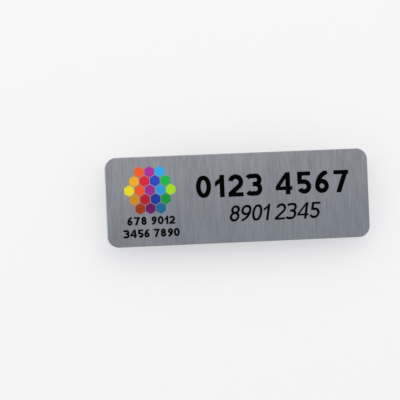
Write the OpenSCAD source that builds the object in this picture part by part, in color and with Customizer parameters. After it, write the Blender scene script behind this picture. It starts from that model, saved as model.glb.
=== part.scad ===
// Name badge: a face plate of brushed metal sheet on a plain fastening bar.
// The badge lies face up. X runs along the lines of print, Y runs up the face as it is read, and
// Z is up. The origin is the middle of the underside, on the bar's back face. Millimetres.

/* [Face plate] */
// Length of the plate, along the lines of print
plate_length = 76.2; // [60:0.1:90]
// Height of the plate, as the badge is read
plate_height = 25.4; // [22:0.1:35]
// Thickness of the sheet that the plate is cut from
plate_thickness = 1.6; // [1:0.1:3]
// Radius of the plate's corners, seen from the front
plate_corner_radius = 3.2; // [1:0.1:6]
// Radius that the plate's cut edges are eased to
plate_edge_radius = 0.15; // [0.1:0.05:0.45]

/* [Fastening bar] */
// Length of the bar on the plate's back
bar_length = 45; // [30:1:54]
// Width of the bar
bar_width = 13; // [10:0.5:20]
// Thickness of the bar
bar_thickness = 5; // [3:0.25:8]
// Radius of the bar's corners, seen from the back
bar_corner_radius = 4; // [1.5:0.25:4.75]
// Radius of the bar's moulded edges
bar_edge_radius = 0.8; // [0.25:0.05:1.4]
// Gap between the bar and the plate's back, as thick as the adhesive film there
adhesive_gap = 0.1; // [0.05:0.05:0.3]

/* [Hidden] */
$fn = 96;

// Silver of the metal face, as the photograph shows it, and black for the hidden bar
plate_colour = [0.53, 0.55, 0.58];
bar_colour = [0.12, 0.12, 0.13];

// Level of the plate's back
plate_bottom = bar_thickness + adhesive_gap;

// Section across a slab's rim, from the inside of the slab at x = 0 out to the rim at x = reach,
// where its upper and lower edges are eased
module rim_section(reach, thickness, ease) {
    square([reach - ease, thickness]);
    translate([0, ease]) square([reach, thickness - 2 * ease]);
    for (level = [ease, thickness - ease])
        translate([reach - ease, level]) circle(r = ease);
}

// A straight stretch of rim along X, of the given run, that faces -Y
module rim_rail(run, reach, thickness, ease) {
    translate([-run / 2, 0, 0])
        rotate([90, 0, 90])
            linear_extrude(height = run)
                mirror([1, 0]) rim_section(reach, thickness, ease);
}

// A flat slab with round corners in outline and eased edges, standing on z = 0: a core block with
// a straight stretch of rim along each side and a turned one at each corner
module eased_slab(size, corner, ease) {
    half = [size.x / 2 - corner, size.y / 2 - corner];
    translate([-half.x, -half.y, 0]) cube([2 * half.x, 2 * half.y, size.z]);
    for (side = [0, 180]) {
        rotate([0, 0, side])
            translate([0, -half.y, 0]) rim_rail(2 * half.x, corner, size.z, ease);
        rotate([0, 0, side + 90])
            translate([0, -half.x, 0]) rim_rail(2 * half.y, corner, size.z, ease);
    }
    for (turn = [0 : 90 : 270])
        translate([sign(cos(turn + 45)) * half.x, sign(sin(turn + 45)) * half.y, 0])
            rotate([0, 0, turn])
                rotate_extrude(angle = 90) rim_section(corner, size.z, ease);
}

// The printed face: one flat piece of brushed metal sheet
module face_plate() {
    size = [plate_length, plate_height, plate_thickness];
    color(plate_colour)
        translate([0, 0, plate_bottom]) eased_slab(size, plate_corner_radius, plate_edge_radius);
}

// The hidden fastening: one plain moulded bar, whose flat back faces the wearer
module fastening_bar() {
    size = [bar_length, bar_width, bar_thickness];
    color(bar_colour) eased_slab(size, bar_corner_radius, bar_edge_radius);
}

face_plate();
fastening_bar();
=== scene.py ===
"""Name badge of brushed aluminium with raised print, lying on a plain floor in soft studio light."""

import math
from collections import namedtuple

import bpy
from bpy.props import FloatProperty, FloatVectorProperty, IntProperty, PointerProperty, StringProperty
from bpy.types import Operator, Panel, PropertyGroup
from mathutils import Matrix, Vector


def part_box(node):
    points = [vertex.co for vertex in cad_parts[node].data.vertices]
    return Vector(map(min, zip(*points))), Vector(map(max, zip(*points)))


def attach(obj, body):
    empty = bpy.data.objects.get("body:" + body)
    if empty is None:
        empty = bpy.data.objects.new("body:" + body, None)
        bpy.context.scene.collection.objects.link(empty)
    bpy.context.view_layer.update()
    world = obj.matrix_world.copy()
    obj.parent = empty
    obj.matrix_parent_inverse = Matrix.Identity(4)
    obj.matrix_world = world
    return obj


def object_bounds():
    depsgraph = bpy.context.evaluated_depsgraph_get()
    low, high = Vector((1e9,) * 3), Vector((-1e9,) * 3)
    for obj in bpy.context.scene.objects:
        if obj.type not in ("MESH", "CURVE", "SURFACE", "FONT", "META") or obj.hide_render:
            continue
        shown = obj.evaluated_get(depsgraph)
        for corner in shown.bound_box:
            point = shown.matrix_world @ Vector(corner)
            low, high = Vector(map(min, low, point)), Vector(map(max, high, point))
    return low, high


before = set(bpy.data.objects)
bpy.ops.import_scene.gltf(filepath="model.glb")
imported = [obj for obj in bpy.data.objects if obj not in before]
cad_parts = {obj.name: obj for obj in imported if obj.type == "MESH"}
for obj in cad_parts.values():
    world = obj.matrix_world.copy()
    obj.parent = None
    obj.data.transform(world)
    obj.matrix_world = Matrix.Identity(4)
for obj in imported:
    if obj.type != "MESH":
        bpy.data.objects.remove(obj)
cad_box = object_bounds()

bl_info = {
    "name": "Name badge",
    "version": (1, 0, 0),
    "blender": (4, 5, 0),
    "location": "View3D > Sidebar > Badge",
    "description": "Dresses a name badge: metal, plastic, print and studio",
    "category": "Object",
}

MM = 0.001
BODY = "root"
CELL_COLOUR = "print_colour"
HUES = 9

# Level of the printed face
face_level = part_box("face_plate")[1].z


def linear(hex_colour):
    """Turns an sRGB hex colour, such as #8A8D91, into the linear one that shaders take."""
    channels = [int(hex_colour[i : i + 2], 16) / 255 for i in (1, 3, 5)]
    return [c / 12.92 if c <= 0.04045 else ((c + 0.055) / 1.055) ** 2.4 for c in channels]


def length(name, description, millimetres):
    """A length property with its default in millimetres."""
    return FloatProperty(
        name=name, description=description, default=millimetres * MM, unit="LENGTH", precision=5
    )


def tint(name, description, hex_colour):
    """A colour property with its default in sRGB hex."""
    return FloatVectorProperty(
        name=name, description=description, default=linear(hex_colour), subtype="COLOR", min=0, max=1
    )


def angle(name, description, degrees):
    """An angle property with its default in degrees."""
    return FloatProperty(
        name=name, description=description, default=math.radians(degrees), subtype="ANGLE"
    )


def number(name, description, value):
    """A property that is a plain number, such as a ratio or a strength."""
    return FloatProperty(name=name, description=description, default=value, precision=3)


def digits(name, description, text):
    """A property that holds a line of digits."""
    return StringProperty(name=name, description=description, default=text)


class PrintSizes(PropertyGroup):
    """Sizes of the four printed lines. Places are measured from the middle of the plate's face."""

    ink_height: length("Ink height", "How far the cured ink stands up from the metal", 0.04)
    ink_shoulder: length("Ink shoulder", "Rounding along the top edge of the ink", 0.012)
    bold: number("Bold stroke", "Stroke width of the name's digits, over their height", 0.212)
    light: number("Light stroke", "Stroke width of the title's digits, over their height", 0.148)
    heavy: number("Heavy stroke", "Stroke width of the captions' digits, over their height", 0.25)
    slant: angle("Slant", "Lean of the title's digits", 10)
    right_centre: length("Right centre", "Middle of the name and the title, along X", 10.1)
    name_digits: digits("Name digits", "Digits that stand for the name", "0123 4567")
    name_height: length("Name height", "Height of the name's digits", 6.35)
    name_base: length("Name baseline", "Level of the foot of the name, along Y", 0.35)
    name_width: length("Name width", "Length of the name", 44.6)
    title_digits: digits("Title digits", "Digits that stand for the title", "8901 2345")
    title_height: length("Title height", "Height of the title's digits", 4.65)
    title_base: length("Title baseline", "Level of the foot of the title, along Y", -6.75)
    title_width: length("Title width", "Length of the title", 26.3)
    left_centre: length("Left centre", "Middle of the honeycomb and its captions, along X", -25.5)
    caption_height: length("Caption height", "Height of the digits in both captions", 2.35)
    upper_digits: digits("Upper caption", "Digits of the line under the honeycomb", "678 9012")
    upper_base: length("Upper baseline", "Level of the foot of the upper caption, along Y", -6.6)
    upper_width: length("Upper width", "Length of the upper caption", 13.8)
    lower_digits: digits("Lower caption", "Digits of the lowest line", "3456 7890")
    lower_base: length("Lower baseline", "Level of the foot of the lower caption, along Y", -10.15)
    lower_width: length("Lower width", "Length of the lower caption", 16.2)


class EmblemSizes(PropertyGroup):
    """Sizes and colours of the honeycomb that is printed above the captions."""

    pitch: length("Pitch", "Distance between the middles of two cells in a row", 3.0)
    gap: length("Gap", "Bare metal between two cells", 0.2)
    corner: length("Corner", "Rounding of a cell's corners, seen from above", 0.22)
    centre: length("Centre", "Middle of the honeycomb, along Y from the plate's middle", 3.2)
    rings: IntProperty(name="Rings", description="Rings of cells round the middle one", default=2)
    hue_1: tint("Hue 1", "Ink of the cells at the left", "#FAE82C")
    hue_2: tint("Hue 2", "Ink of the next column of cells", "#FBB02A")
    hue_3: tint("Hue 3", "Ink of the next column of cells", "#F9602C")
    hue_4: tint("Hue 4", "Ink of the next column of cells", "#E0283F")
    hue_5: tint("Hue 5", "Ink of the cells in the middle", "#A8329A")
    hue_6: tint("Hue 6", "Ink of the next column of cells", "#2B4BC6")
    hue_7: tint("Hue 7", "Ink of the next column of cells", "#34A6E6")
    hue_8: tint("Hue 8", "Ink of the next column of cells", "#22B94E")
    hue_9: tint("Hue 9", "Ink of the cells at the right", "#B0EA2E")
    top_light: number("Top light", "Brightness of the top row, over the middle row's", 1.2)
    bottom_light: number("Bottom light", "Brightness of the bottom row, over the middle row's", 0.42)


class FinishColours(PropertyGroup):
    """Colours of the badge's own surfaces."""

    grain_dark: tint("Dark grain", "Bottom of the brush lines in the metal", "#9FA3A8")
    grain_light: tint("Light grain", "Crests between the brush lines", "#C1C5CA")
    cut_edge: tint("Cut edge", "Cut wall of the sheet", "#D6D8DA")
    # Painted shade: the rounding between the face and the wall is coloured darker than the metal, to
    # stand for the dark line that its reflection shows along the edges
    shaded_rounding: tint("Shaded rounding", "Rounding between the wall and the face, painted darker as shade", "#8B8E92")
    plastic: tint("Plastic", "Black moulded plastic of the fastening bar", "#232325")
    ink: tint("Black ink", "Cured black print", "#020202")


class StageSettings(PropertyGroup):
    """The camera, the floor and the light."""

    lens: number("Lens", "Focal length, in millimetres", 316.3)
    sensor: number("Sensor", "Width of the sensor, in millimetres", 36)
    distance: length("Camera distance", "From the point that the camera looks at", 1000)
    turn: angle("Turn", "How far the camera stands to the left of the plate's normal", 11.3)
    tip: angle("Tip", "How far the camera stands above the plate's normal", 0.35)
    roll: angle("Roll", "How far the plate's lines climb to the right in the picture", 2.35)
    aim_x: length("Aim X", "Point that the camera looks at, from the middle of the face", -10.75)
    aim_y: length("Aim Y", "Point that the camera looks at, from the middle of the face", -0.2)
    aim_z: length("Aim Z", "Point that the camera looks at, from the middle of the face", -2.15)
    floor_size: length("Floor size", "Side of the square floor", 4000)
    floor_colour: tint("Floor colour", "Matt white paper under the badge", "#CCCCCD")
    floor_glow: number("Floor glow", "Light that comes up through the paper from a lit table", 0.42)
    zenith: tint("Zenith", "Roof of the light tent, straight above", "#5C6775")
    horizon: tint("Horizon", "Walls of the light tent, all round", "#F3F3F3")
    roof_start: number("Roof start", "Height, 0 to 1, where walls turn into roof", 0.5)
    roof_end: number("Roof end", "Height, 0 to 1, from which all is roof", 0.95)
    bright_side: FloatVectorProperty(
        name="Bright side", description="Towards the tent's brightest wall", default=(-0.4, 0.9, 0),
        subtype="XYZ",
    )
    wall_dim: number("Dim wall", "Strength of the wall away from the bright side", 0.85)
    wall_bright: number("Bright wall", "Strength of the wall on the bright side", 1.75)
    panel_width: length("Panel width", "Length of the light panel overhead, along X", 460)
    panel_depth: length("Panel depth", "Length of the light panel overhead, along Y", 360)
    panel_right: length("Panel right", "Right edge of the panel, from the middle of the badge", 190)
    panel_front: length("Panel front", "Front edge of the panel, from the middle of the badge", 30)
    panel_height: length("Panel height", "Height of the panel above the floor", 450)
    panel_power: FloatProperty(
        name="Panel power", description="Power of the light panel overhead", default=0.62, unit="POWER"
    )
    panel_colour: tint("Panel colour", "Colour of the light panel's light", "#FFF1E8")


def settings():
    """The add-on's values, by group."""
    scene = bpy.context.scene
    return scene.badge_print, scene.badge_emblem, scene.badge_finish, scene.badge_stage


def deselect():
    """Leaves nothing selected, so that an operator acts only on what is made next."""
    if bpy.context.object and bpy.context.object.mode != "OBJECT":
        bpy.ops.object.mode_set(mode="OBJECT")
    bpy.ops.object.select_all(action="DESELECT")


def activate(piece):
    """Selects one object and makes it the active one."""
    deselect()
    piece.select_set(True)
    bpy.context.view_layer.objects.active = piece


def edit(piece):
    """Opens one object's mesh with all of it selected."""
    activate(piece)
    bpy.ops.object.mode_set(mode="EDIT")
    bpy.ops.mesh.select_mode(type="FACE")
    bpy.ops.mesh.select_all(action="SELECT")


def apply_place(piece):
    """Moves an object's place, turn and scale into its mesh."""
    activate(piece)
    bpy.ops.object.transform_apply(location=True, rotation=True, scale=True)


def apply_modifier(piece, kind, **values):
    """Adds a modifier to an object and applies it."""
    activate(piece)
    bpy.ops.object.modifier_add(type=kind)
    modifier = piece.modifiers[-1]
    for name, value in values.items():
        setattr(modifier, name, value)
    bpy.ops.object.modifier_apply(modifier=modifier.name)


def join(pieces):
    """Joins objects into the first of them."""
    deselect()
    for piece in pieces:
        piece.select_set(True)
    bpy.context.view_layer.objects.active = pieces[0]
    bpy.ops.object.join()
    return pieces[0]


def copy_of(piece):
    """A copy of an object with a mesh of its own."""
    twin = piece.copy()
    twin.data = piece.data.copy()
    bpy.context.scene.collection.objects.link(twin)
    return twin


def round_shoulder(film, radius):
    """Rounds the edge along the top of a film of ink."""
    edit(film)
    bpy.ops.mesh.select_all(action="DESELECT")
    bpy.ops.object.mode_set(mode="OBJECT")
    for face in film.data.polygons:
        face.select = face.normal.z > 0.9
    bpy.ops.object.mode_set(mode="EDIT")
    bpy.ops.mesh.region_to_loop()
    bpy.ops.mesh.bevel(offset=radius, segments=2, affect="EDGES", clamp_overlap=True)
    bpy.ops.object.mode_set(mode="OBJECT")


def ride_as_ink(film, name, ink):
    """Names a finished film of ink, gives it its material, and lets it ride on the badge."""
    film.name = name
    film.data.name = name
    film.data.materials.clear()
    film.data.materials.append(ink)
    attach(film, BODY)


# How far a chord may stray from the arc it stands for, in digit heights
CHORD_ERROR = 0.0004
# Length of a stroke that is drawn past its end and then trimmed, in digit heights
OVERRUN = 1.5


def stroke(start, heading, moves, weight, depth, side=0, closed=False):
    """Draws one stroke of a digit as a closed bar on z = 0, and returns its object.

    The pen comes down at start, with its heading in degrees. Each move is a straight run of a
    length, or a bow of a radius and a sweep in degrees, which is positive where it turns left.
    side is 1 where the points lie on the stroke's left edge, -1 on its right edge and 0 halfway.
    A closed stroke ends where it starts.
    """
    heading = math.radians(heading)
    across = Vector((-math.sin(heading), math.cos(heading), 0))
    point = Vector((start[0], start[1], depth / 2)) - across * side * weight / 2
    deselect()
    bpy.ops.mesh.primitive_plane_add(size=1, location=point, rotation=(0, math.pi / 2, heading))
    bar = bpy.context.object
    bar.scale = (depth, weight, 1)
    apply_place(bar)
    edit(bar)
    if closed:
        bpy.ops.mesh.select_mode(type="EDGE")
        bpy.ops.mesh.delete(type="ONLY_FACE")
        bpy.ops.mesh.select_all(action="SELECT")
    for move in moves:
        if len(move) == 1:
            step = Vector((math.cos(heading), math.sin(heading), 0)) * move[0]
            bpy.ops.mesh.extrude_region_move(TRANSFORM_OT_translate={"value": step})
            point += step
            continue
        radius, sweep = move[0], math.radians(move[1])
        turn = math.copysign(1, sweep)
        centre = point + Vector((-math.sin(heading), math.cos(heading), 0)) * radius * turn
        steps = max(2, math.ceil(abs(sweep) / (2 * math.acos(1 - CHORD_ERROR / radius))))
        # The spin operator turns clockwise about an axis that points up
        bpy.ops.mesh.spin(steps=steps, angle=-sweep, center=centre, axis=(0, 0, 1))
        point = centre + Matrix.Rotation(sweep, 3, "Z") @ (point - centre)
        heading += sweep
    bpy.ops.mesh.select_mode(type="FACE")
    bpy.ops.mesh.select_all(action="SELECT")
    bpy.ops.mesh.remove_doubles(threshold=1e-4)
    bpy.ops.mesh.select_all(action="SELECT")
    bpy.ops.mesh.normals_make_consistent(inside=False)
    bpy.ops.object.mode_set(mode="OBJECT")
    return bar


def trim(bar, left=None, right=None, foot=None, head=None):
    """Cuts a stroke off square along the lines given, and closes the cuts."""
    limits = [(left, (-1, 0, 0)), (right, (1, 0, 0)), (foot, (0, -1, 0)), (head, (0, 1, 0))]
    for limit, outward in limits:
        if limit is None:
            continue
        edit(bar)
        place = [abs(axis) * limit for axis in outward]
        bpy.ops.mesh.bisect(plane_co=place, plane_no=outward, use_fill=True, clear_outer=True)
        bpy.ops.object.mode_set(mode="OBJECT")
    return bar


def fuse(bars):
    """Unites overlapping strokes into one closed body."""
    body = bars[0]
    for other in bars[1:]:
        apply_modifier(body, "BOOLEAN", operation="UNION", solver="EXACT", object=other)
        bpy.data.objects.remove(other)
    edit(body)
    bpy.ops.mesh.dissolve_limited(angle_limit=math.radians(0.2))
    bpy.ops.object.mode_set(mode="OBJECT")
    return body


def heading_to(start, end):
    """The heading from one point to another, in degrees."""
    return math.degrees(math.atan2(end[1] - start[1], end[0] - start[0]))


def around(centre, radius, degrees):
    """The point of a circle that lies at an angle from +X."""
    turn = math.radians(degrees)
    return centre[0] + radius * math.cos(turn), centre[1] + radius * math.sin(turn)


class DigitShop:
    """Makes the ten digits, one unit high, of one stroke weight and depth.

    All are built from runs and bows, as an engraver's digits are. Flat strokes are a little
    thinner than upright ones, which makes them look the same. The numbers in each digit are its
    proportions, in digit heights and degrees.
    """

    def __init__(self, weight, depth):
        self.weight = weight
        self.flat = 0.88 * weight
        self.depth = depth
        self.half = weight / 2
        self.width = 0.48 + weight
        self.bow = (self.width - weight) / 2
        self.middle = 0.53

    def cell_width(self, digit):
        """How much of the line a digit takes, without the gap after it."""
        narrow = 0.27 + 0.75 * self.weight
        return {"1": narrow, "4": self.width + 0.08, " ": 0.26}.get(digit, self.width)

    def bar(self, start, heading, moves, weight=None, **more):
        """One stroke, of the shop's weight unless another is given."""
        return stroke(start, heading, moves, weight or self.weight, self.depth, **more)

    def zero(self):
        # An oval of four bows: two wide ones for its sides and two tight ones for its ends
        across = self.bow
        up = 0.5 - self.half
        tight = 0.78 * self.bow
        wide = (across**2 + (up - tight) ** 2 - tight**2) / (2 * (across - tight))
        lean = math.degrees(math.asin((up - tight) / (wide - tight)))
        start = (self.width - self.half, 0.5)
        end, side = (tight, 180 - 2 * lean), (wide, 2 * lean)
        return [self.bar(start, 90, [(wide, lean), end, side, end, (wide, lean)], closed=True)]

    def one(self):
        flag_heading = 215
        right = self.cell_width("1")
        flag = self.bar((right, 1), flag_heading, [(OVERRUN,)], self.flat, side=-1)
        return [
            self.bar((right - self.half, 0), 90, [(1,)]),
            trim(flag, left=0, right=right),
        ]

    def two(self):
        # The bow turns until its straight tail just meets the foot's upper left corner
        start_angle = 168
        centre = Vector((self.width / 2, 1 - self.half - self.bow))
        reach = centre - Vector((0, self.flat))
        inner = self.bow - self.half
        fall = math.degrees(math.atan2(reach.y, reach.x) - math.asin(inner / reach.length))
        sweep = (fall - 180) - (start_angle - 90)
        start = around(centre, self.bow, start_angle)
        hook = self.bar(start, start_angle - 90, [(self.bow, sweep), (OVERRUN,)])
        foot = self.bar((0, self.flat / 2), 0, [(self.width,)], self.flat)
        return [trim(hook, left=0, foot=0), foot]

    def three(self):
        # Each half is a flat top, a half round and a flat foot, with a short hook at its open end
        upper = (1 - self.half - self.middle) / 2
        lower = (self.middle - self.half) / 2
        hook, sweep = 0.24, 48
        left = 0.02
        upper_inset = 0.02
        tail = 0.12
        reach = hook * math.sin(math.radians(sweep))
        drop = hook * (1 - math.cos(math.radians(sweep)))
        right = self.width - self.half
        top_run = right - upper_inset - upper - left - reach
        foot_run = right - lower - left - reach
        tongue = (right - lower - tail, self.middle)
        top = (left, 1 - self.half - drop)
        return [
            self.bar(top, sweep, [(hook, -sweep), (top_run,), (upper, -180), (tail,)]),
            self.bar(tongue, 0, [(tail,), (lower, -180), (foot_run,), (hook, -sweep)]),
        ]

    def four(self):
        thin = 0.8 * self.weight
        shelf = 0.2
        overhang = 0.1
        right = self.cell_width("4") - overhang
        tip = (0, shelf + thin)
        peak = (right - self.weight, 1)
        slope = self.bar(tip, heading_to(tip, peak), [(OVERRUN,)], thin, side=1)
        return [
            self.bar((right - self.half, 0), 90, [(1,)]),
            self.bar((0, shelf), 0, [(self.cell_width("4"),)], thin, side=-1),
            trim(slope, left=0, right=right, head=1),
        ]

    def five(self):
        # The bowl runs from its tail, at the lower left, round to the end of the shelf
        left = 0.06
        top_inset = 0.03
        rim = 0.65
        tail_angle = 205
        bowl = (rim - self.weight) / 2
        centre = (self.width - self.half - bowl, self.half + bowl)
        shelf = rim - self.weight
        tail = around(centre, bowl, tail_angle)
        return [
            self.bar((left, 1), 270, [(1 - shelf,)], side=-1),
            self.bar((left, 1), 0, [(self.width - left - top_inset,)], self.flat, side=1),
            self.bar((left, shelf), 0, [(centre[0] - left,)], side=-1),
            self.bar(tail, tail_angle + 90, [(bowl, 450 - tail_angle)]),
        ]

    def six(self):
        # The neck is a wide bow that comes down to the left side of the ring
        ring_height = 0.64
        back = 0.66
        end_angle = 107
        bowl = (ring_height - self.weight) / 2
        level = self.half + bowl
        top = around((self.half + back, level), back, end_angle)
        neck = self.bar(top, end_angle + 90, [(back, 180 - end_angle)])
        ring = self.bar((self.half, level), 270, [(bowl, 360)], closed=True)
        return [ring, trim(neck, head=1)]

    def seven(self):
        corner = (self.width, 1)
        foot = (0.1 + 1.05 * self.weight, 0)
        leg = self.bar(corner, heading_to(corner, foot), [(OVERRUN,)], side=1)
        return [
            self.bar((0, 1), 0, [(self.width,)], self.flat, side=1),
            trim(leg, foot=0, head=1, right=self.width),
        ]

    def eight(self):
        upper = (1 - self.half - self.middle) / 2
        lower = (self.middle - self.half) / 2
        centre = self.width / 2
        return [
            self.bar((centre + lower, self.middle - lower), 90, [(lower, 360)], closed=True),
            self.bar((centre + upper, self.middle + upper), 90, [(upper, 360)], closed=True),
        ]

    def make(self, digit):
        """One finished digit, with the foot of its cell's left side at the origin."""
        makers = {
            "0": self.zero,
            "1": self.one,
            "2": self.two,
            "3": self.three,
            "4": self.four,
            "5": self.five,
            "6": self.six,
            "7": self.seven,
            "8": self.eight,
            "9": self.six,
        }
        body = fuse(makers[digit]())
        if digit == "9":
            body.rotation_euler.z = math.pi
            body.location = (self.width, 1, 0)
            apply_place(body)
        return body


Line = namedtuple("Line", "name digits weight height base centre width slant")


def print_line(line, sizes, ink):
    """Prints one line of digits on the plate's face, spaced so that it fills its width."""
    shop = DigitShop(line.weight, sizes.ink_height / line.height)
    masters = {}
    for digit in sorted(set(line.digits) - {" "}):
        masters[digit] = shop.make(digit)
        round_shoulder(masters[digit], sizes.ink_shoulder / line.height)
    cells = [shop.cell_width(digit) for digit in line.digits]
    gap = (line.width / line.height - sum(cells)) / (len(cells) - 1)
    lean = Matrix(((1, math.tan(line.slant), 0), (0, 1, 0), (0, 0, 1))).to_4x4()
    pen = line.centre - line.width / 2
    copies = []
    for digit, cell in zip(line.digits, cells):
        if digit != " ":
            twin = copy_of(masters[digit])
            twin.data.transform(lean)
            twin.scale = (line.height, line.height, line.height)
            twin.location = (pen, line.base, face_level)
            apply_place(twin)
            copies.append(twin)
        pen += (cell + gap) * line.height
    for master in masters.values():
        bpy.data.objects.remove(master)
    ride_as_ink(join(copies), line.name, ink)


def add(tree, kind, inputs=None, **values):
    """Adds a node, sets its own settings, and gives its inputs numbers or other nodes' outputs."""
    node = tree.nodes.new(kind)
    for name, value in values.items():
        setattr(node, name, value)
    # A Mix node has a pair of A and B for each kind of value, and only those of its kind are on
    sockets = {socket.name: socket for socket in reversed(node.inputs) if socket.enabled}
    for name, value in (inputs or {}).items():
        socket = node.inputs[name] if isinstance(name, int) else sockets[name]
        if isinstance(value, bpy.types.NodeSocket):
            tree.links.new(value, socket)
        else:
            socket.default_value = value
    return node


def result(node):
    """The first output that is on, which in a Mix node is the one for its kind of value."""
    return next(socket for socket in node.outputs if socket.enabled)


def start_material(name):
    """An empty material, with the place on the surface that its patterns start from."""
    material = bpy.data.materials.new(name)
    material.use_nodes = True
    tree = material.node_tree
    tree.nodes.clear()
    return material, tree, add(tree, "ShaderNodeTexCoord").outputs


def finish_material(tree, inputs):
    """Ends a material's nodes in the Principled shader with the inputs given."""
    shader = add(tree, "ShaderNodeBsdfPrincipled", inputs)
    add(tree, "ShaderNodeOutputMaterial", {"Surface": shader.outputs["BSDF"]})


def opaque(colour):
    """A colour with full alpha."""
    return (*colour, 1)


def brushed_aluminium(finish):
    """Aluminium sheet brushed on a belt, whose fine lines run up the badge's height, with cut edges.

    To the eye it is a soft grey mirror: it blurs what it reflects along X, its lines show as faint
    light and dark streaks, and handling has left a haze that is a little duller in places.
    """
    material, tree, place = start_material("brushed_aluminium_sheet")
    # Width and length of the brush marks, in millimetres. Real ones are some 0.03 mm wide, which is
    # too fine to show, so they are drawn coarser, in bands, lines and hairs
    layers = []
    for width, run in ((2.2, 14), (0.36, 4.5), (0.09, 5)):
        scale = (1 / (width * MM), 1 / (run * MM), 1 / (run * MM))
        drawn = add(tree, "ShaderNodeMapping", {"Vector": place["Object"], "Scale": scale})
        marks = add(
            tree,
            "ShaderNodeTexNoise",
            {"Vector": drawn.outputs["Vector"], "Scale": 1, "Detail": 1, "Roughness": 0.55},
        )
        layers.append(marks.outputs["Fac"])
    coarse = add(tree, "ShaderNodeMix", {"Factor": 0.6, "A": layers[0], "B": layers[1]})
    grain = result(add(tree, "ShaderNodeMix", {"Factor": 0.3, "A": result(coarse), "B": layers[2]}))
    contrast = add(
        tree, "ShaderNodeMapRange", {"Value": grain, "From Min": 0.34, "From Max": 0.66}
    )
    face = add(
        tree,
        "ShaderNodeMix",
        {
            "Factor": result(contrast),
            "A": opaque(finish.grain_dark),
            "B": opaque(finish.grain_light),
        },
        data_type="RGBA",
    )
    # The normal's Z is 1 on the face, -1 on the back and 0 on the cut wall
    normal = add(tree, "ShaderNodeSeparateXYZ", {"Vector": place["Normal"]})
    level = result(add(tree, "ShaderNodeMath", {0: normal.outputs["Z"]}, operation="ABSOLUTE"))
    flat = add(
        tree,
        "ShaderNodeMapRange",
        {"Value": level, "From Min": 0.8, "From Max": 0.99},
        interpolation_type="SMOOTHSTEP",
    )
    wall = add(
        tree,
        "ShaderNodeMapRange",
        {"Value": level, "From Min": 0.35, "From Max": 0.05},
        interpolation_type="SMOOTHSTEP",
    )
    # The rounding between the face and the cut wall takes the darker colour, which is painted shade;
    # the cut wall keeps its bright metal colour
    edge = add(
        tree,
        "ShaderNodeMix",
        {
            "Factor": result(wall),
            "A": opaque(finish.shaded_rounding),
            "B": opaque(finish.cut_edge),
        },
        data_type="RGBA",
    )
    colour = add(
        tree,
        "ShaderNodeMix",
        {"Factor": result(flat), "A": result(edge), "B": result(face)},
        data_type="RGBA",
    )
    cloud = add(
        tree,
        "ShaderNodeTexNoise",
        {"Vector": place["Object"], "Scale": 1 / (14 * MM), "Detail": 2},
    )
    haze = add(
        tree,
        "ShaderNodeMapRange",
        {"Value": cloud.outputs["Fac"], "From Min": 0.35, "From Max": 0.65, "To Min": 0.96,
         "To Max": 1.06},
    )
    polish = add(
        tree,
        "ShaderNodeMapRange",
        {"Value": grain, "From Min": 0.3, "From Max": 0.7, "To Min": 0.44, "To Max": 0.34},
    )
    dulled = add(
        tree, "ShaderNodeMath", {0: result(polish), 1: result(haze)}, operation="MULTIPLY"
    )
    rough = add(tree, "ShaderNodeMix", {"Factor": result(flat), "A": 0.6, "B": result(dulled)})
    bump = add(
        tree, "ShaderNodeBump", {"Strength": 0.2, "Distance": 0.01 * MM, "Height": grain}
    )
    # The lines spread light across themselves, so the tangent of the blur lies along X
    across = add(tree, "ShaderNodeCombineXYZ", {"X": 1})
    finish_material(
        tree,
        {
            "Base Color": result(colour),
            "Metallic": 1,
            "Roughness": result(rough),
            "Anisotropic": 0.6,
            "Tangent": result(across),
            "Normal": result(bump),
        },
    )
    return material


def moulded_plastic(finish):
    """Black ABS from a spark-eroded mould, whose fine even texture leaves a dull, dry sheen."""
    material, tree, place = start_material("moulded_abs")
    # Spark erosion leaves pits of 0.05 to 0.1 mm, drawn here as 0.35 mm so that they show
    pits = add(
        tree,
        "ShaderNodeTexNoise",
        {"Vector": place["Object"], "Scale": 1 / (0.35 * MM), "Detail": 3},
    )
    cloud = add(
        tree,
        "ShaderNodeTexNoise",
        {"Vector": place["Object"], "Scale": 1 / (9 * MM), "Detail": 2},
    )
    worn = [min(1, 1.4 * channel) for channel in finish.plastic]
    colour = add(
        tree,
        "ShaderNodeMix",
        {"Factor": cloud.outputs["Fac"], "A": opaque(finish.plastic), "B": opaque(worn)},
        data_type="RGBA",
    )
    rough = add(
        tree,
        "ShaderNodeMapRange",
        {"Value": pits.outputs["Fac"], "To Min": 0.42, "To Max": 0.66},
    )
    bump = add(
        tree,
        "ShaderNodeBump",
        {"Strength": 0.9, "Distance": 0.06 * MM, "Height": pits.outputs["Fac"]},
    )
    finish_material(
        tree,
        {
            "Base Color": result(colour),
            "Roughness": result(rough),
            "Normal": result(bump),
            "IOR": 1.53,
        },
    )
    return material


def cured_ink(name, colour, roughness, gloss):
    """Print ink cured by ultraviolet light: a thin hard film with a slightly pebbled skin."""
    material, tree, place = start_material(name)
    # The jets' drops are some 0.05 mm wide, drawn here as pebbles of 0.2 mm so that they show
    pebble = add(
        tree,
        "ShaderNodeTexNoise",
        {"Vector": place["Object"], "Scale": 1 / (0.2 * MM), "Detail": 2},
    ).outputs["Fac"]
    if colour is None:
        colour = add(tree, "ShaderNodeAttribute", attribute_name=CELL_COLOUR).outputs["Color"]
    cover = add(tree, "ShaderNodeMapRange", {"Value": pebble, "To Min": 0.94, "To Max": 1.06})
    shade = add(
        tree,
        "ShaderNodeMix",
        {"Factor": 1, "A": colour, "B": result(cover)},
        data_type="RGBA",
        blend_type="MULTIPLY",
    )
    rough = add(
        tree,
        "ShaderNodeMapRange",
        {"Value": pebble, "To Min": roughness - 0.08, "To Max": roughness + 0.08},
    )
    bump = add(
        tree, "ShaderNodeBump", {"Strength": 0.3, "Distance": 0.01 * MM, "Height": pebble}
    )
    finish_material(
        tree,
        {
            "Base Color": result(shade),
            "Roughness": result(rough),
            "Normal": result(bump),
            "Specular IOR Level": gloss,
        },
    )
    return material


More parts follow.
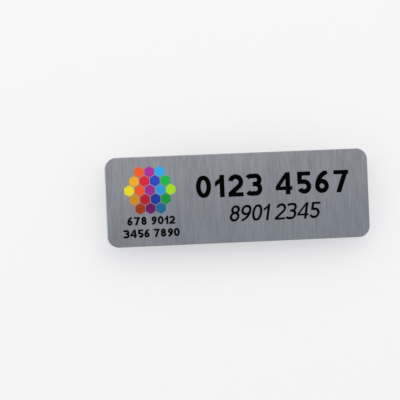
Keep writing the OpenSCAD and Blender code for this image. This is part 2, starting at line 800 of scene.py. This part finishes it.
class BADGE_OT_plate(Operator):
    """Gives the face plate its brushed aluminium"""

    bl_idname = "badge.plate"
    bl_label = "Finish the face plate"

    def execute(self, context):
        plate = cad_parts["face_plate"]
        plate.material_slots[0].material = brushed_aluminium(context.scene.badge_finish)
        return {"FINISHED"}


class BADGE_OT_bar(Operator):
    """Gives the fastening bar its moulded plastic"""

    bl_idname = "badge.bar"
    bl_label = "Finish the fastening bar"

    def execute(self, context):
        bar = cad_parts["fastening_bar"]
        bar.material_slots[0].material = moulded_plastic(context.scene.badge_finish)
        return {"FINISHED"}


class BADGE_OT_lines(Operator):
    """Prints the four lines of digits in raised black ink"""

    bl_idname = "badge.lines"
    bl_label = "Print the lines"

    def execute(self, context):
        sizes, _, finish, _ = settings()
        ink = cured_ink("cured_black_ink", opaque(finish.ink), 0.45, 0.025)
        right, left, small = sizes.right_centre, sizes.left_centre, sizes.caption_height
        lines = (
            Line("name_print", sizes.name_digits, sizes.bold, sizes.name_height, sizes.name_base,
                 right, sizes.name_width, 0),
            Line("title_print", sizes.title_digits, sizes.light, sizes.title_height,
                 sizes.title_base, right, sizes.title_width, sizes.slant),
            Line("upper_caption_print", sizes.upper_digits, sizes.heavy, small, sizes.upper_base,
                 left, sizes.upper_width, 0),
            Line("lower_caption_print", sizes.lower_digits, sizes.heavy, small, sizes.lower_base,
                 left, sizes.lower_width, 0),
        )
        for line in lines:
            print_line(line, sizes, ink)
        return {"FINISHED"}


def honeycomb_cell(emblem, sizes):
    """One cell: a six-sided film of ink with its corners and its shoulder rounded."""
    depth = sizes.ink_height
    deselect()
    bpy.ops.mesh.primitive_cylinder_add(
        vertices=6,
        radius=(emblem.pitch - emblem.gap) / math.sqrt(3),
        depth=depth,
        location=(0, 0, face_level + depth / 2),
    )
    cell = bpy.context.object
    apply_place(cell)
    edit(cell)
    bpy.ops.mesh.select_mode(type="EDGE")
    bpy.ops.mesh.select_all(action="DESELECT")
    bpy.ops.object.mode_set(mode="OBJECT")
    for side in cell.data.edges:
        ends = [cell.data.vertices[i].co for i in side.vertices]
        side.select = abs(ends[0].z - ends[1].z) > depth / 2
    bpy.ops.object.mode_set(mode="EDIT")
    bpy.ops.mesh.bevel(offset=emblem.corner, segments=4, affect="EDGES")
    bpy.ops.object.mode_set(mode="OBJECT")
    round_shoulder(cell, sizes.ink_shoulder)
    return cell


def cell_colour(emblem, row, column):
    """The ink of one cell: hues change from left to right, and rows darken from top to bottom.

    Rows are counted down from the middle one, and columns, in half cells, from the left.
    """
    hue = getattr(emblem, f"hue_{1 + round(column * (HUES - 1) / (4 * emblem.rings))}")
    end = emblem.bottom_light if row > 0 else emblem.top_light
    light = 1 + (end - 1) * abs(row) / emblem.rings
    return opaque([min(1, channel * light) for channel in hue])


class BADGE_OT_emblem(Operator):
    """Prints a honeycomb of coloured cells"""

    bl_idname = "badge.emblem"
    bl_label = "Print the honeycomb"

    def execute(self, context):
        sizes, emblem, _, _ = settings()
        master = honeycomb_cell(emblem, sizes)
        row_step = emblem.pitch * math.sqrt(3) / 2
        cells = []
        for row in range(-emblem.rings, emblem.rings + 1):
            count = 2 * emblem.rings + 1 - abs(row)
            for nth in range(count):
                half_steps = 2 * nth - (count - 1)
                cell = copy_of(master)
                cell.location = (
                    sizes.left_centre + half_steps * emblem.pitch / 2,
                    emblem.centre - row * row_step,
                    0,
                )
                apply_place(cell)
                colour = cell_colour(emblem, row, half_steps + 2 * emblem.rings)
                painted = cell.data.color_attributes.new(CELL_COLOUR, "FLOAT_COLOR", "POINT")
                for point in painted.data:
                    point.color = colour
                cells.append(cell)
        bpy.data.objects.remove(master)
        ink = cured_ink("cured_colour_ink", None, 0.38, 0.1)
        ride_as_ink(join(cells), "honeycomb_print", ink)
        return {"FINISHED"}


class BADGE_OT_stage(Operator):
    """Sets up the floor, the light and the camera"""

    bl_idname = "badge.stage"
    bl_label = "Set the stage"

    def execute(self, context):
        stage = context.scene.badge_stage
        self.lay_floor(stage)
        self.hang_tent(context.scene, stage)
        self.hang_panel(stage)
        self.place_camera(context.scene, stage)
        context.scene.view_settings.view_transform = "Standard"
        return {"FINISHED"}

    def lay_floor(self, stage):
        deselect()
        bpy.ops.mesh.primitive_plane_add(size=stage.floor_size, location=(0, 0, cad_box[0].z))
        floor = bpy.context.object
        floor.name = "floor"
        apply_place(floor)
        material, tree, place = start_material("matt_white_paper")
        fibre = add(
            tree,
            "ShaderNodeTexNoise",
            {"Vector": place["Object"], "Scale": 1 / (3 * MM), "Detail": 3},
        )
        shade = add(
            tree, "ShaderNodeMapRange", {"Value": fibre.outputs["Fac"], "To Min": 0.99, "To Max": 1}
        )
        paper = add(
            tree,
            "ShaderNodeMix",
            {"Factor": 1, "A": opaque(stage.floor_colour), "B": result(shade)},
            data_type="RGBA",
            blend_type="MULTIPLY",
        )
        finish_material(
            tree,
            {
                "Base Color": result(paper),
                "Roughness": 0.9,
                "Specular IOR Level": 0.1,
                "Emission Color": (1, 1, 1, 1),
                "Emission Strength": stage.floor_glow,
            },
        )
        floor.data.materials.append(material)

    def hang_tent(self, scene, stage):
        world = bpy.data.worlds.new("light_tent")
        world.use_nodes = True
        tree = world.node_tree
        tree.nodes.clear()
        direction = add(tree, "ShaderNodeTexCoord").outputs["Generated"]
        height = add(tree, "ShaderNodeSeparateXYZ", {"Vector": direction}).outputs["Z"]
        roof = add(
            tree,
            "ShaderNodeMapRange",
            {"Value": height, "From Min": stage.roof_start, "From Max": stage.roof_end},
            interpolation_type="SMOOTHSTEP",
        )
        cloth = add(
            tree,
            "ShaderNodeMix",
            {"Factor": result(roof), "A": opaque(stage.horizon), "B": opaque(stage.zenith)},
            data_type="RGBA",
        )
        # The walls are brightest at mid height, behind the badge and to its left
        side = add(
            tree,
            "ShaderNodeVectorMath",
            {0: direction, 1: stage.bright_side},
            operation="DOT_PRODUCT",
        )
        wall = add(
            tree,
            "ShaderNodeMapRange",
            {"Value": side.outputs["Value"], "From Min": -0.7, "From Max": 0.7,
             "To Min": stage.wall_dim, "To Max": stage.wall_bright},
            interpolation_type="SMOOTHSTEP",
        )
        above_floor = add(
            tree,
            "ShaderNodeMapRange",
            {"Value": height, "From Min": 0.1, "From Max": 0.55},
            interpolation_type="SMOOTHSTEP",
        )
        strength = add(
            tree, "ShaderNodeMix", {"Factor": result(above_floor), "A": 1, "B": result(wall)}
        )
        glow = add(
            tree, "ShaderNodeBackground", {"Color": result(cloth), "Strength": result(strength)}
        )
        add(tree, "ShaderNodeOutputWorld", {"Surface": result(glow)})
        scene.world = world

    def hang_panel(self, stage):
        # The panel's front and right edges blur across the face, which is why it darkens that way
        bpy.ops.object.light_add(
            type="AREA",
            location=(
                stage.panel_right - stage.panel_width / 2,
                stage.panel_front + stage.panel_depth / 2,
                stage.panel_height,
            ),
        )
        panel = bpy.context.object
        panel.name = "light_panel"
        panel.data.shape = "RECTANGLE"
        panel.data.size = stage.panel_width
        panel.data.size_y = stage.panel_depth
        panel.data.energy = stage.panel_power
        panel.data.color = stage.panel_colour

    def place_camera(self, scene, stage):
        bpy.ops.object.camera_add()
        camera = bpy.context.object
        camera.name = "camera"
        camera.data.lens = stage.lens
        camera.data.sensor_width = stage.sensor
        camera.rotation_mode = "ZXY"
        camera.rotation_euler = (-stage.tip, -stage.turn, -stage.roll)
        target = Vector((stage.aim_x, stage.aim_y, face_level + stage.aim_z))
        view = camera.rotation_euler.to_matrix()
        camera.location = target + view @ Vector((0, 0, stage.distance))
        camera.data.clip_start = 10 * MM
        camera.data.clip_end = 20
        scene.camera = camera


class BADGE_PT_panel(Panel):
    """Lists the badge's operators and values in the 3D view's sidebar"""

    bl_idname = "BADGE_PT_panel"
    bl_label = "Name badge"
    bl_space_type = "VIEW_3D"
    bl_region_type = "UI"
    bl_category = "Badge"

    def draw(self, context):
        for operator in OPERATORS:
            self.layout.operator(operator.bl_idname)
        for group in settings():
            box = self.layout.box()
            for name in group.__annotations__:
                box.prop(group, name)


GROUPS = {
    "badge_print": PrintSizes,
    "badge_emblem": EmblemSizes,
    "badge_finish": FinishColours,
    "badge_stage": StageSettings,
}
OPERATORS = (BADGE_OT_plate, BADGE_OT_bar, BADGE_OT_lines, BADGE_OT_emblem, BADGE_OT_stage)


def register():
    for name, group in GROUPS.items():
        bpy.utils.register_class(group)
        setattr(bpy.types.Scene, name, PointerProperty(type=group))
    for kind in (*OPERATORS, BADGE_PT_panel):
        bpy.utils.register_class(kind)


def unregister():
    for kind in (BADGE_PT_panel, *reversed(OPERATORS)):
        bpy.utils.unregister_class(kind)
    for name, group in GROUPS.items():
        delattr(bpy.types.Scene, name)
        bpy.utils.unregister_class(group)


def main():
    register()
    bpy.ops.badge.plate()
    bpy.ops.badge.bar()
    bpy.ops.badge.lines()
    bpy.ops.badge.emblem()
    bpy.ops.badge.stage()


if __name__ == "__main__":
    main()
